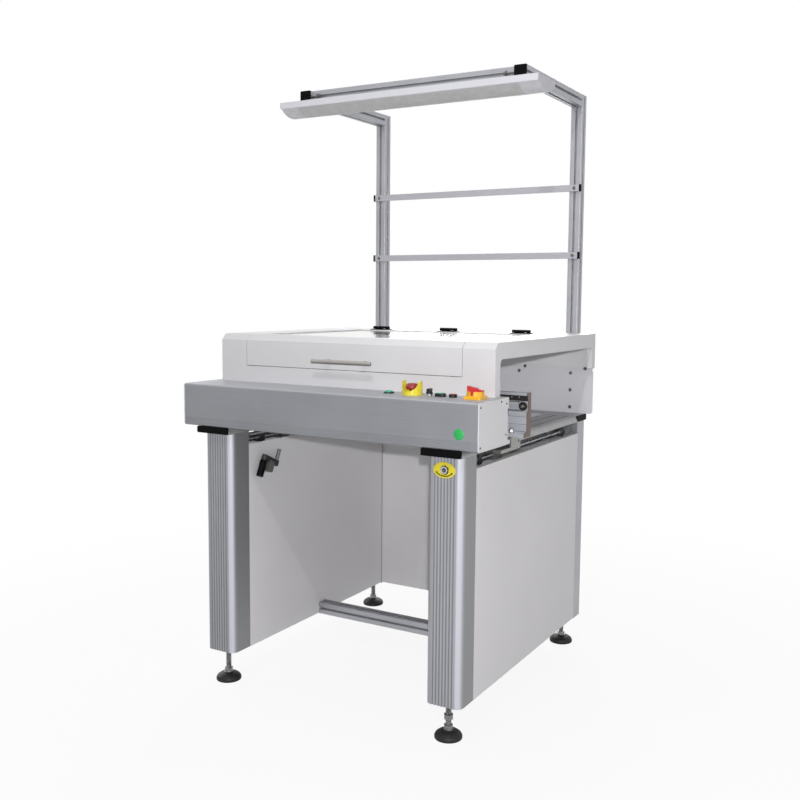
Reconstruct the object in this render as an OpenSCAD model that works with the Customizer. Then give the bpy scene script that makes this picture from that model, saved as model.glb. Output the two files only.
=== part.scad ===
// Inspection conveyor workstation: two belt rails on a slotted-profile frame,
// with a lift-up hood and a lamp gantry. Millimetres, +Z up, operator at -Y.

/* [Frame] */
// length of the front beam, along the conveyor
beam_length = 1000; // [900:10:1200]
// height of the front beam
beam_height = 128; // [120:2:150]
// depth of the front beam's cover, front to back
cover_depth = 165; // [155:1:180]
// height of the beam's underside above the floor
beam_bottom = 808; // [760:2:860]
// front face of the beam to the back of the rear cross beam
frame_depth = 960; // [920:5:1100]
// depth of the rear cross beam
cross_beam_depth = 90; // [70:5:110]
// width of each flat side arm
arm_width = 120; // [110:2:130]
// thickness of the side arms and the rear cross beam
arm_thickness = 20; // [16:1:28]
// half the width over both side arms
arm_reach = 450; // [430:5:480]
// width of a leg, across the conveyor's ends
leg_width = 108; // [100:2:110]
// depth of a front leg
leg_depth = 81; // [70:1:90]
// radius of a front leg's two front corners
leg_corner = 22; // [10:1:30]
// middle to middle of the flutes down a front leg's front face
flute_pitch = 9.6; // [5:0.2:12]
// radius of each flute
flute_radius = 2.2; // [1:0.1:3]
// front face of the beam to the front face of the legs
leg_setback = 26; // [20:1:40]
// depth of a rear leg
rear_leg_depth = 60; // [40:2:64]
// height of the legs' lower ends above the floor
leg_bottom = 102; // [90:1:125]
// side of the square slotted profile
strut = 40; // [40:1:45]
// height of the side panels' upper edges above the floor
panel_top = 747; // [700:1:748]
// thickness of the painted panels
sheet = 2; // [1.5:0.1:3]

/* [Feet] */
// radius of a levelling foot's pad
pad_radius = 39; // [30:1:45]
// radius of a levelling foot's threaded stud
stud_radius = 8; // [6:0.5:9]
// how far each foot can be screwed in or out
foot_travel = 15; // [10:1:20]

/* [Rails] */
// thickness of a rail's web
rail_thickness = 26; // [24:1:30]
// gap between the two rails at rest, the width of the board
board_gap = 124; // [100:1:200]
// widest board the rails take
widest_board = 460; // [300:5:480]
// narrowest board the rails take
narrowest_board = 50; // [50:1:80]
// radius of the belt pulleys
pulley_radius = 11.4; // [11:0.1:12]
// width of a belt
belt_width = 6; // [5:0.5:6.5]
// thickness of a belt
belt_thickness = 1.2; // [1:0.1:1.6]
// depth of the recess in a rail that the belt runs in
recess = 8; // [7.5:0.5:9]
// radius of the width-adjusting screws
screw_radius = 7; // [6:0.5:8]
// radius of the rails' guide rods
rod_radius = 7; // [6:0.5:8]
// radius of the crank's drive end and its socket
crank_radius = 6; // [5:0.5:6]

/* [Hood] */
// half the length of the hood along the conveyor
hood_reach = 475; // [460:1:490]
// height of the hood above the beam
hood_height = 148; // [140:1:180]
// size of the sloped strip along the hood's front edge
hood_slope = 18; // [12:1:24]
// thickness of the hood's sheet metal
hood_sheet = 3; // [2:0.5:4]
// half the length of the lid
lid_reach = 375; // [350:1:390]
// front face of the beam to the hood's front wall
hood_front = 149; // [145:1:152]
// front face of the beam to the lid's hinge line
hinge_line = 789; // [760:1:820]

/* [Lamp] */
// height of the lamp posts' tops above the floor
post_top = 1886; // [1800:2:2000]
// middle of each lamp post from the middle of the table
post_middle = 388; // [370:1:400]
// front face of the beam to the lamp arms' front ends
arm_front = 481; // [440:1:520]
// length of the lamp
lamp_length = 924; // [860:2:960]
// width of the lamp
lamp_width = 132; // [120:2:150]
// height of the lamp's white body
lamp_body = 20; // [16:1:26]
// how far the lamp's rounded cover hangs below its body
lamp_bulge = 22; // [16:1:28]

/* [Hidden] */
fine = 64;
medium = 32;
gap = 0.3;
running_fit = 0.05;
half_length = beam_length / 2;
overall_depth = frame_depth + strut;
front_y = -overall_depth / 2;
beam_top = beam_bottom + beam_height;
leg_top = beam_bottom - arm_thickness;
leg_reach = arm_reach - 6;
leg_middle = leg_reach - leg_width / 2;
leg_inside = leg_reach - leg_width;
arm_inside = arm_reach - arm_width;
cap = 5;
end_screw = 3.6;
plate_screw = 6;
ring_radius = 23.5;
ring_rise = 20;
guard_radius = 28.5;
guard_height = 38;
plunger = 7;
button_rise = 9;
start_cap = 9;
stop_cap = 8.7;
arm_grooves = [45, 87];
beam_wall = 2.5;
plate = 3;
beam_corner = 8;
front_leg_back = leg_setback + leg_depth;
rear_leg_front = frame_depth - cross_beam_depth + 26;
rear_leg_back = rear_leg_front + rear_leg_depth;
cross_beam_front = frame_depth - cross_beam_depth;
leg_wall = 4;
rear_slot = 27;
rear_slot_width = 16.4;
rear_core = 2 * (rear_slot - rear_slot_width / 2 - leg_wall);
flute_side = floor((leg_width / 2 - leg_corner - flute_radius) / flute_pitch);
foot_plate = 12;
stretcher_front = leg_setback + 454;
board_face = cover_depth + 27;
web_back = board_face + board_gap;
rail_back = web_back + rail_thickness;
rail_bottom = beam_bottom + 2;
rail_top = beam_top;
belt_top = rail_top - 26;
pulley_z = belt_top - belt_thickness - pulley_radius;
belt_bottom = pulley_z - pulley_radius - belt_thickness;
recess_top = belt_top + 18;
recess_bottom = belt_bottom - 3;
pulley_x = half_length - 16;
screw_x = leg_middle - 1;
screw_z = leg_top - 38;
rod_x = screw_x - 29;
rod_z = leg_top - 17;
carriage_front = web_back - 84;
carriage_back = rail_back + 24;
slide_y = [carriage_back - 46, carriage_back];
carriage_bar_x = arm_reach - 14;
carriage_z = [leg_top - 26, leg_top - 4];
bracket_x = arm_reach + 3;
sync_y = [cross_beam_front + 8, cross_beam_front + 18];
hood_top = beam_top + hood_height;
hood_eave = hood_top - hood_slope;
hood_back = frame_depth;
hood_foot = beam_top + 30;
opening_top = hood_top - 47;
opening_front = hood_front + 33;
opening_back = hood_back - 31;
lid_bottom = beam_top + 52;
hinge_z = hood_top + 6.6;
hinge_places = [-275, 0, 275];
knuckle_radius = 6;
pin_radius = 3;
beam_middle = arm_front + strut / 2 + 9;
lamp_middle = beam_middle - 7;
lamp_top = post_top - strut;
lamp_bottom = lamp_top - lamp_body - lamp_bulge;
lamp_cap = 65;
bulge_half = lamp_width / 2 - 9;
bulge_radius = (bulge_half * bulge_half + lamp_bulge * lamp_bulge) / (2 * lamp_bulge);
bar_heights = [post_top - 310, post_top - 537];
bar_height = 22;
bar_thickness = 9;
bar_reach = post_middle + strut / 2 - 2;
control_y = cover_depth / 2 + 13;
end_screws = [[9, 12], [9, beam_height - 12], [cover_depth - 28, beam_height - 8],
  [cover_depth + 5, beam_height - 16], [cover_depth + 3, 28]];
isolator_x = half_length - 57;
stop_x = isolator_x - 67;
start_x = stop_x - 38;
selector_x = start_x - 34;
stop_mushroom_x = selector_x - 54;
lamp_button_x = stop_mushroom_x - 75;
drive_x = -pulley_x;
shaft_end = cross_beam_front + 6;
hex_radius = 5;
hub_radius = 7;
socket_radius = crank_radius + 4;
journal_radius = 4.2;
sync_radius = 10;
crank_wall_x = -leg_inside;

// A distance behind the beam's front face, as a Y coordinate.
function back(y) = front_y + y;

// A box from three ranges: across, behind the front face, above the floor.
module block(x, y, z)
  translate([x[0], back(y[0]), z[0]])
    cube([x[1] - x[0], y[1] - y[0], z[1] - z[0]]);

// Round bars along the three axes.
module bar_x(x, y, z, r) translate([x[0], back(y), z]) rotate([0, 90, 0])
  cylinder(r = r, h = x[1] - x[0], $fn = fine);
module bar_y(x, y, z, r) translate([x, back(y[0]), z]) rotate([-90, 0, 0])
  cylinder(r = r, h = y[1] - y[0], $fn = fine);
module bar_z(x, y, z, r) translate([x, back(y), z[0]])
  cylinder(r = r, h = z[1] - z[0], $fn = fine);

// Flat shapes drawn across and up, or back and up, or across and back.
module along_x(x) translate([x[0], 0, 0]) rotate([90, 0, 90])
  linear_extrude(x[1] - x[0]) children();
module along_y(y) translate([0, back(y[1]), 0]) rotate([90, 0, 0])
  linear_extrude(y[1] - y[0]) children();
module along_z(z) translate([0, 0, z[0]])
  linear_extrude(z[1] - z[0]) children();

module both_sides() {
  children();
  mirror([1, 0, 0]) children();
}

// A rectangle about the origin with round corners.
module soft_rectangle(width, height, corner) {
  square([width - 2 * corner, height], center = true);
  square([width, height - 2 * corner], center = true);
  for (x = [-1, 1], y = [-1, 1])
    translate([x * (width / 2 - corner), y * (height / 2 - corner)])
      circle(r = corner, $fn = medium);
}

// A rectangle from two ranges with chosen corner radii at its low and high x.
module panel_outline(x, y, low_corner, high_corner) {
  difference() {
    translate([x[0], y[0]]) square([x[1] - x[0], y[1] - y[0]]);
    for (top = [0, 1]) {
      corner_cut([x[0], y[top]], [1, top ? -1 : 1], low_corner);
      corner_cut([x[1], y[top]], [-1, top ? -1 : 1], high_corner);
    }
  }
}

// What is cut away to round one corner of radius r.
module corner_cut(at, inward, r)
  if (r > 0) translate(at) difference() {
    translate([inward[0] > 0 ? -1 : -r, inward[1] > 0 ? -1 : -r])
      square([r + 1, r + 1]);
    translate([inward[0] * r, inward[1] * r]) circle(r = r, $fn = medium);
  }

// One T-slot, cut down from a face at y = 0.
module slot() {
  translate([-4.1, -3]) square([8.2, 4]);
  polygon([[-8.2, -2.6], [8.2, -2.6], [8.2, -5], [4.2, -9.6], [-4.2, -9.6],
    [-8.2, -5]]);
}

// Section of a slotted profile: slots on its two long and two short faces.
module strut_section(width, height, long_slots, short_slots) {
  difference() {
    soft_rectangle(width, height, 2);
    for (side = [-1, 1]) {
      for (place = long_slots)
        translate([place, side * height / 2]) rotate(side > 0 ? 0 : 180) slot();
      for (place = short_slots)
        translate([side * width / 2, place]) rotate(side > 0 ? -90 : 90) slot();
    }
    for (place = long_slots) translate([place, 0]) circle(r = 3.4, $fn = medium);
  }
}

module square_strut() strut_section(strut, strut, [0], [0]);

// ---- frame ----

// Section of a front leg: a hollow profile, its front fluted and rounded.
module front_leg_section() {
  difference() {
    union() {
      translate([-leg_width / 2, -leg_depth / 2 + leg_corner])
        square([leg_width, leg_depth - leg_corner]);
      translate([-leg_width / 2 + leg_corner, -leg_depth / 2])
        square([leg_width - 2 * leg_corner, leg_depth]);
      for (side = [-1, 1])
        translate([side * (leg_width / 2 - leg_corner), -leg_depth / 2 + leg_corner])
          circle(r = leg_corner, $fn = fine);
    }
    translate([-leg_width / 2 + leg_wall, -leg_depth / 2 + leg_corner])
      square([leg_width - 2 * leg_wall, leg_depth - leg_corner - leg_wall]);
    translate([-leg_width / 2 + leg_corner, -leg_depth / 2 + leg_wall + 1])
      square([leg_width - 2 * leg_corner, leg_corner]);
    for (flute = [-flute_side : flute_side])
      translate([flute * flute_pitch, -leg_depth / 2])
        circle(r = flute_radius, $fn = medium);
  }
}

module front_leg(side) {
  translate([side * leg_middle, back(leg_setback + leg_depth / 2), 0])
    along_z([leg_bottom, leg_top]) front_leg_section();
}

// The right leg lets the width screw's socket through.
module front_legs() color("silver") {
  front_leg(-1);
  difference() {
    front_leg(1);
    bar_y(screw_x, [leg_setback - 1, front_leg_back + 1], screw_z, socket_radius + 2);
  }
}

// Section of a rear leg: slots front and back, plain sides, three hollows.
module rear_leg_section() {
  edge_hollow = (leg_width - rear_core) / 2 - 3 * leg_wall - rear_slot_width;
  difference() {
    strut_section(leg_width, rear_leg_depth, [-rear_slot, rear_slot], []);
    square([rear_core, rear_leg_depth - 2 * leg_wall], center = true);
    for (side = [-1, 1])
      translate([side * (leg_width / 2 - leg_wall - edge_hollow / 2), 0])
        square([edge_hollow, rear_leg_depth - 2 * leg_wall], center = true);
  }
}

module rear_legs() color("silver") both_sides()
  translate([leg_middle, back(rear_leg_front + rear_leg_depth / 2), 0])
    along_z([leg_bottom, leg_top]) rear_leg_section();

// The threaded plate in each leg's lower end.
module leg_foot_plates() color("dimgray") both_sides() {
  difference() {
    block([leg_inside + leg_wall, leg_reach - leg_wall],
      [leg_setback + leg_corner, front_leg_back - leg_wall],
      [leg_bottom, leg_bottom + foot_plate]);
    foot_thread(leg_setback + leg_depth / 2);
  }
  difference() {
    block([leg_inside, leg_reach], [rear_leg_front, rear_leg_back],
      [leg_bottom - 3, leg_bottom]);
    foot_thread(rear_leg_front + rear_leg_depth / 2);
  }
}

module foot_thread(y) bar_z(leg_middle, y, [leg_bottom - 4, leg_bottom + foot_plate + 1],
  stud_radius + running_fit);

// Section of a side arm: flat, grooved on top, its outer edge rounded over.
module side_arm_section() {
  lip = 2;
  edge = arm_thickness - lip;
  difference() {
    intersection() {
      translate([arm_inside, leg_top]) square([arm_width, arm_thickness]);
      union() {
        translate([arm_inside, leg_top]) square([arm_width - edge, arm_thickness]);
        translate([arm_inside, leg_top]) square([arm_width, lip]);
        translate([arm_reach - edge, leg_top + lip]) circle(r = edge, $fn = fine);
      }
    }
    for (groove = arm_grooves)
      translate([arm_inside + groove - 1.6, beam_bottom - 2]) square([3.2, 3]);
    for (hollow = [8, 42, 74])
      translate([arm_inside + hollow, leg_top + 5]) square([24, arm_thickness - 10]);
  }
}

module side_arms() color("silver") both_sides()
  along_y([cap + 1, cross_beam_front]) side_arm_section();

module rear_cross_beam() color("silver") along_x([-arm_reach + cap, arm_reach - cap])
  difference() {
    translate([back(cross_beam_front), leg_top]) square([cross_beam_depth, arm_thickness]);
    for (hollow = [7, 34, 61])
      translate([back(cross_beam_front + hollow), leg_top + 5])
        square([22, arm_thickness - 10]);
  }

// Black end caps of the arms, the rear cross beam, the lamp arms and the bars.
module profile_caps() color("black") both_sides() {
  along_y([1, cap + 1])
    panel_outline([arm_inside, arm_reach], [leg_top, beam_bottom], 3, 5);
  along_x([arm_reach - cap, arm_reach])
    panel_outline([back(cross_beam_front), back(frame_depth)],
      [leg_top, beam_bottom], 4, 4);
  translate([post_middle, 0, lamp_top + strut / 2])
    along_y([arm_front - 4, arm_front]) soft_rectangle(strut, strut, 3);
  for (z = bar_heights)
    block([bar_reach, bar_reach + 6], [frame_depth - bar_thickness - 1, frame_depth],
      [z - bar_height / 2 - 1, z + bar_height / 2 + 1]);
}

module lower_stretcher() color("silver")
  translate([0, back(stretcher_front + strut / 2), leg_bottom - 2 + strut / 2])
    rotate([90, 0, 90]) translate([0, 0, -leg_inside])
      linear_extrude(2 * leg_inside) square_strut();

// Double-skinned side walls between the legs, open on top, and the back panel.
module lower_panels() color("whitesmoke") {
  both_sides() difference() {
    union() {
      for (x = [leg_inside, leg_reach - sheet])
        block([x, x + sheet], [front_leg_back, rear_leg_front], [leg_bottom, panel_top]);
      block([leg_inside, leg_reach], [front_leg_back, rear_leg_front],
        [leg_bottom, leg_bottom + sheet]);
    }
    block([leg_inside - 1, leg_inside + sheet + 1], [sync_y[0] - 4, rear_leg_front + 1],
      [screw_z - 18, panel_top + 1]);
  }
  block([-leg_inside, leg_inside], [rear_leg_front + 6, rear_leg_front + 6 + sheet],
    [leg_bottom, panel_top]);
  for (z = [leg_bottom, panel_top - sheet])
    block([-leg_inside, leg_inside], [rear_leg_front + 6, rear_leg_front + 24],
      [z, z + sheet]);
}

// A levelling foot: domed pad, hexagonal cone and threaded stud.
module foot(x, y, lock_nut) {
  translate([x, back(y), 0]) {
    rotate_extrude($fn = fine) polygon([[0, 0], [pad_radius - 1, 0],
      [pad_radius, 2], [pad_radius, 7], [pad_radius - 3, 13], [pad_radius - 11, 19],
      [17, 23], [14, 25], [0, 25]]);
    translate([0, 0, 25]) cylinder(r = 12, h = 4, $fn = fine);
    translate([0, 0, 29]) cylinder(r = 13.5, h = 8, $fn = 6);
    translate([0, 0, 20]) cylinder(r = stud_radius, h = leg_bottom + 12, $fn = fine);
    if (lock_nut) translate([0, 0, 54]) cylinder(r = 13.8, h = 13, $fn = 6);
  }
}

module foot_front_left() color("gray")
  foot(-leg_middle, leg_setback + leg_depth / 2, false);
module foot_front_right() color("gray")
  foot(leg_middle, leg_setback + leg_depth / 2, true);
module foot_rear_left() color("gray")
  foot(-leg_middle, rear_leg_front + rear_leg_depth / 2, false);
module foot_rear_right() color("gray")
  foot(leg_middle, rear_leg_front + rear_leg_depth / 2, false);

// ---- front beam and its controls ----

// Outline of the beam, back and up, rounded along its two front edges.
module beam_outline(shrink)
  panel_outline([back(shrink), back(cover_depth - shrink)],
    [beam_bottom + shrink, beam_top - shrink], beam_corner - shrink, 0);

module beam_cover() color("gray") difference() {
  along_x([-half_length + plate, half_length - plate]) difference() {
    beam_outline(0);
    beam_outline(beam_wall);
    for (groove = [0 : 3]) translate([front_y - 1, beam_bottom + beam_corner + 1 + groove * 5])
      square([1.6, 1.2]);
  }
  for (x = [lamp_button_x, start_x, stop_x]) panel_hole(x, 8);
  panel_hole(stop_mushroom_x, 11);
  panel_hole(selector_x, 6);
  panel_hole(isolator_x, 11);
  bar_y(drive_x, [cover_depth - 4, cover_depth + 1], pulley_z, hub_radius + 3);
}

module panel_hole(x, r) bar_z(x, control_y, [beam_top - 5, beam_top + 1], r);

// End plates, stepped along the back to clear the belts.
module beam_end_plates() color("whitesmoke") {
  end_plate();
  difference() {
    mirror([1, 0, 0]) end_plate();
    along_x([-half_length - 1, -half_length + plate + 1]) inlet_outline(0);
  }
}

module end_plate()
  along_x([half_length - plate, half_length]) {
    panel_outline([back(0), back(cover_depth + 14)], [beam_bottom, beam_top],
      beam_corner, 0);
    translate([back(cover_depth + 10), beam_bottom]) square([21, 11]);
    translate([back(cover_depth + 10), belt_bottom + 21])
      square([12, beam_top - belt_bottom - 21]);
  }

// A button-head screw with a hexagonal socket, its head standing off +Z.
module screw_head(r) difference() {
  cylinder(r1 = r, r2 = r * 0.62, h = r * 0.55, $fn = medium);
  translate([0, 0, r * 0.2]) cylinder(r = r * 0.36, h = r, $fn = 6);
}

module machine_screws() color("gray") {
  for (side = [-1, 1], place = end_screws)
    translate([side * half_length, back(place[0]), beam_bottom + place[1]])
      rotate([0, side * 90, 0]) screw_head(end_screw);
  for (side = [-1, 1]) {
    for (z = [beam_top + 10, beam_top - 49, beam_top - 108])
      rear_plate_screw(side * (post_middle + 2), z, plate_screw);
    rear_plate_screw(side * 198, beam_top + 10, plate_screw);
    for (x = [220, 443]) rear_plate_screw(side * x, hood_foot - 3, plate_screw);
    for (z = bar_heights)
      translate([side * post_middle, back(frame_depth - bar_thickness), z])
        rotate([90, 0, 0]) screw_head(6);
    translate([side * (post_middle - strut / 2), back(arm_front + 1), lamp_top + strut / 2])
      rotate([0, -side * 90, 0]) {
        cylinder(r = 3, h = 26, $fn = medium);
        translate([0, 0, 26]) cylinder(r = 7.5, h = 2, $fn = medium);
        translate([0, 0, 28]) cylinder(r = 6.5, h = 6, $fn = 6);
      }
  }
}

module rear_plate_screw(x, z, r)
  translate([x, back(hood_back - plate), z]) rotate([90, 0, 0]) screw_head(r);

// A round bezel with a stem through the beam's top.
module bezel(x, outer, inner) difference() {
  union() {
    bar_z(x, control_y, [beam_top, beam_top + 3], outer);
    bar_z(x, control_y, [beam_top - 26, beam_top + 0.5], 7.8);
  }
  bar_z(x, control_y, [beam_top - 14, beam_top + 6], inner);
}

// The raised rim round a push button, its cap sunk in it.
module button_rim(x, length, width, cap_radius) difference() {
  translate([x, back(control_y), 0]) {
    along_z([beam_top, beam_top + button_rise - 1]) soft_rectangle(length, width, width / 2 - 0.1);
    along_z([beam_top, beam_top + button_rise])
      soft_rectangle(length - 2, width - 2, width / 2 - 1.1);
  }
  bar_z(x, control_y, [beam_top - 1, beam_top + 4], plunger);
  bar_z(x, control_y, [beam_top + 3, beam_top + button_rise + 1], cap_radius + gap);
}

module control_bezels() color("black") {
  bezel(lamp_button_x, 15, plunger);
  for (x = [start_x, stop_x]) bezel(x, 9, plunger);
  button_rim(start_x, 32, 22, start_cap);
  button_rim(stop_x, 22.4, 22.2, stop_cap);
  difference() {
    union() {
      bar_z(selector_x, control_y, [beam_top, beam_top + 6], 8);
      bar_z(selector_x, control_y, [beam_top - 24, beam_top + 1], 5.8);
    }
    bar_z(selector_x, control_y, [beam_top - 10, beam_top + 7], 3);
  }
}

// A push button: a cap over a plunger that runs in its bezel.
module push_button(x, cap_radius) {
  translate([x, back(control_y), beam_top + 6]) rotate_extrude($fn = fine)
    polygon([[0, 0], [cap_radius, 0], [cap_radius, 3.4], [cap_radius - 1, 4],
      [cap_radius - 2.4, 3.7], [0, 3.2]]);
  bar_z(x, control_y, [beam_top - 8, beam_top + 6.2], plunger - running_fit);
}

module pilot_lens() color("limegreen") {
  bar_z(lamp_button_x, control_y, [beam_top - 10, beam_top + 3.2], plunger - running_fit);
  translate([lamp_button_x, back(control_y), beam_top + 3]) rotate_extrude($fn = fine)
    polygon([[0, 0], [11, 0], [11, 2.4], [10, 3.8], [6.5, 4.8], [0, 5.2]]);
}

module start_button() color("green") push_button(start_x, start_cap);
module stop_button() color("red") push_button(stop_x, stop_cap);

module selector_knob() color("black") {
  bar_z(selector_x, control_y, [beam_top - 8, beam_top + 7], 3 - running_fit);
  difference() {
    bar_z(selector_x, control_y, [beam_top + 6 + gap, beam_top + 20], 10);
    for (side = [-1, 1])
      translate([selector_x + side * 8.5, back(control_y), beam_top + 15])
        cube([8, 24, 12], center = true);
  }
}

// Guard around the stop mushroom, scooped out in front and behind.
module estop_shroud() color("gold") difference() {
  union() {
    bar_z(stop_mushroom_x, control_y, [beam_top, beam_top + guard_height], guard_radius);
    bar_z(stop_mushroom_x, control_y, [beam_top - 22, beam_top + 1], 10.8);
  }
  bar_z(stop_mushroom_x, control_y, [beam_top + 4, beam_top + guard_height + 1],
    guard_radius - 3.5);
  bar_z(stop_mushroom_x, control_y, [beam_top - 16, beam_top + 5], 8);
  bar_y(stop_mushroom_x, [control_y - 33, control_y + 33], beam_top + guard_height - 1,
    guard_radius - 2.5);
}

module estop_button() color("red") translate([stop_mushroom_x, back(control_y), beam_top])
  rotate_extrude($fn = fine) polygon([[0, -10], [8 - running_fit, -10],
    [8 - running_fit, 14], [17, 16], [18, 19], [18, 24], [16, 29], [11, 31.6],
    [0, 32.6]]);

module isolator_base() color("gold") difference() {
  union() {
    translate([isolator_x, back(control_y), 0]) along_z([beam_top, beam_top + 8])
      soft_rectangle(50, 50, 5);
    bar_z(isolator_x, control_y, [beam_top + 7, beam_top + ring_rise], ring_radius);
    bar_z(isolator_x, control_y, [beam_top - 30, beam_top + 1], 10.8);
  }
  bar_z(isolator_x, control_y, [beam_top - 16, beam_top + 9], 5);
  bar_z(isolator_x, control_y, [beam_top + 8, beam_top + ring_rise + 1], ring_radius - 3.5);
  for (turn = [0 : 90 : 270])
    translate([isolator_x, back(control_y), beam_top + ring_rise]) rotate([0, 0, turn])
      translate([ring_radius, 0, 0]) cube([14, 9, 20], center = true);
}

module isolator_handle() color("red") {
  bar_z(isolator_x, control_y, [beam_top - 10, beam_top + 9], 5 - running_fit);
  bar_z(isolator_x, control_y, [beam_top + 8 + gap, beam_top + ring_rise + 1],
    ring_radius - 3.5 - gap);
  translate([isolator_x, back(control_y) + 7, beam_top + ring_rise + gap])
    rotate([90, 0, 0]) linear_extrude(14)
      polygon([[-22, 0], [22, 0], [22, 4], [6, 6.6], [6, 8.6], [-22, 14]]);
}

// ---- inside the beam ----

// Gear motor, its gearbox on the drive shaft and against the cover's back wall.
module drive_motor() color("dimgray") {
  bar_y(drive_x + 26, [30, 104], pulley_z - 18, 30);
  difference() {
    block([drive_x - 8, drive_x + 60], [104, cover_depth - beam_wall],
      [pulley_z - 52, pulley_z + 16]);
    bar_y(drive_x, [110, cover_depth], pulley_z, hub_radius + running_fit);
  }
}

module control_unit() color("darkgray") {
  block([-180, 60], [20, 120], [beam_bottom + beam_wall, beam_bottom + 66]);
  block([90, 150], [24, 110], [beam_bottom + beam_wall, beam_bottom + 56]);
}

module power_inlet() color("black") difference() {
  along_x([-half_length, -half_length + 24]) inlet_outline(0);
  along_x([-half_length - 1, -half_length + 16]) inlet_outline(3);
}

module inlet_outline(wall) translate([back(60), beam_bottom + 22])
  soft_rectangle(28 - 2 * wall, 22 - 2 * wall, 3);

// ---- rails and belts ----

// Section of a rail, its web to the right of x = 0, its recess on the left.
module rail_outline(foot) difference() {
  union() {
    translate([0, rail_bottom]) square([rail_thickness, rail_top - rail_bottom]);
    if (foot > 0) {
      translate([-foot, rail_bottom]) square([foot + 1, 12]);
      translate([-foot * 0.4, rail_bottom]) square([foot, 16]);
    }
  }
  translate([-1, recess_bottom]) square([recess + 1, recess_top - recess_bottom]);
}

module rail_section(foot) {
  difference() {
    rail_outline(foot);
    for (groove = [30, 62]) translate([-1, rail_bottom + groove]) square([2, 1.6]);
    for (hollow = [8, 38])
      translate([8, rail_bottom + hollow]) square([rail_thickness - 14, 22]);
  }
  translate([1, pulley_z + pulley_radius - 7]) square([recess, 6.4]);
}

// Clear of the end pulleys, with bores for the idler's axle and the drive hub.
module pulley_room(y, side) {
  for (x = [-pulley_x, pulley_x])
    block([x - pulley_radius - 2, x + pulley_radius + 17], [y[0], y[1]],
      [belt_bottom, belt_top + 3]);
  bar_y(pulley_x, side, pulley_z, pin_radius + running_fit);
  bar_y(drive_x, side, pulley_z, hub_radius + running_fit);
}

// The rail behind the beam. Its belt faces the movable rail.
module front_rail() color("silver") difference() {
  along_x([-half_length + plate, half_length - plate])
    translate([back(board_face), 0]) mirror([1, 0]) rail_section(0);
  pulley_room([board_face - recess, board_face + 1],
    [board_face - rail_thickness - 1, board_face + 1]);
}

module rear_rail() color("silver") difference() {
  along_x([-half_length + plate, half_length - plate])
    translate([back(web_back), 0]) rail_section(18);
  pulley_room([web_back - 1, web_back + recess], [web_back - 1, rail_back + 1]);
}

module rail_end_plates() color("saddlebrown") both_sides()
  along_x([half_length - plate, half_length])
    translate([back(web_back), 0]) difference() {
      rail_outline(18);
      translate([recess + 6, pulley_z]) circle(r = 2, $fn = medium);
    }

// A belt: a closed loop around both end pulleys.
module belt(y) color("darkslategray") along_y(y) difference() {
  loop_outline(pulley_x, pulley_z, pulley_radius + belt_thickness);
  loop_outline(pulley_x, pulley_z, pulley_radius + running_fit);
}

module loop_outline(reach, height, r) {
  for (side = [-1, 1]) translate([side * reach, height]) circle(r = r, $fn = fine);
  translate([-reach, height - r]) square([2 * reach, 2 * r]);
}

module front_belt() belt([board_face - 1 - belt_width, board_face - 1]);
module rear_belt() belt([web_back + 1, web_back + 1 + belt_width]);

// End pulleys turn on an axle through the web behind them.
module front_idler() color("silver") {
  bar_y(pulley_x, [board_face - 1 - belt_width, board_face - 1], pulley_z, pulley_radius);
  bar_y(pulley_x, [board_face - rail_thickness, board_face + 1], pulley_z, pin_radius);
}

module rear_idler() color("silver") {
  bar_y(pulley_x, [web_back + 1, web_back + 1 + belt_width], pulley_z, pulley_radius);
  bar_y(pulley_x, [web_back - 2, rail_back], pulley_z, pin_radius);
  translate([pulley_x, back(web_back - 2), pulley_z]) rotate([90, 0, 0])
    cylinder(r = 5, h = 3, $fn = 6);
}

// Hexagonal shaft along the table, with the fixed rail's drive pulley on it.
module drive_shaft() color("silver") {
  bar_y(drive_x, [118, board_face - 1], pulley_z, hub_radius);
  bar_y(drive_x, [board_face - 1 - belt_width, board_face - 1], pulley_z, pulley_radius);
  translate([drive_x, back(board_face - 1.1), pulley_z]) rotate([-90, 0, 0])
    cylinder(r = hex_radius, h = cross_beam_front - board_face, $fn = 6);
  bar_y(drive_x, [cross_beam_front - 1.2, shaft_end], pulley_z, journal_radius);
}

// The movable rail's drive pulley slides along the hexagonal shaft.
module rear_drive_pulley() color("silver") difference() {
  union() {
    bar_y(drive_x, [web_back + 1, web_back + 1 + belt_width], pulley_z, pulley_radius);
    bar_y(drive_x, [web_back + 1, rail_back], pulley_z, hub_radius);
  }
  translate([drive_x, back(web_back - 1), pulley_z]) rotate([-90, 0, 0])
    cylinder(r = hex_radius + gap, h = rail_thickness + 3, $fn = 6);
}

// ---- width adjustment ----

// Carriages under the side arms that carry the movable rail's two ends.
module rail_carriages() color("lightgray") both_sides() difference() {
  union() {
    block([rod_x - rod_radius - 8, carriage_bar_x + 3], slide_y, carriage_z);
    block([screw_x - 15, screw_x + 15], [slide_y[0] + 4, slide_y[1] - 4],
      [screw_z - 13, carriage_z[0] + 1]);
    block([carriage_bar_x, bracket_x + 6], [carriage_front, carriage_back],
      [carriage_z[0] + 8, carriage_z[1] - 4]);
    block([bracket_x, bracket_x + 6], [web_back - 16, carriage_back],
      [carriage_z[1] - 5, rail_bottom]);
  }
  bar_y(rod_x, [slide_y[0] - 1, slide_y[1] + 1], rod_z, rod_radius + running_fit);
  bar_y(screw_x, [slide_y[0] - 1, slide_y[1] + 1], screw_z, screw_radius + running_fit);
  bar_x([bracket_x - 1, bracket_x + 7], carriage_back - 13, leg_top + 5, 4);
}

// Shared by both width screws: collar, thread and belt pulley.
module width_screw(x, start) {
  bar_y(x, [start, sync_y[1]], screw_z, screw_radius);
  bar_y(x, [233, 239], screw_z, screw_radius + 4.6);
  bar_y(x, [sync_y[0] + gap, sync_y[1]], screw_z, sync_radius);
}

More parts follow.
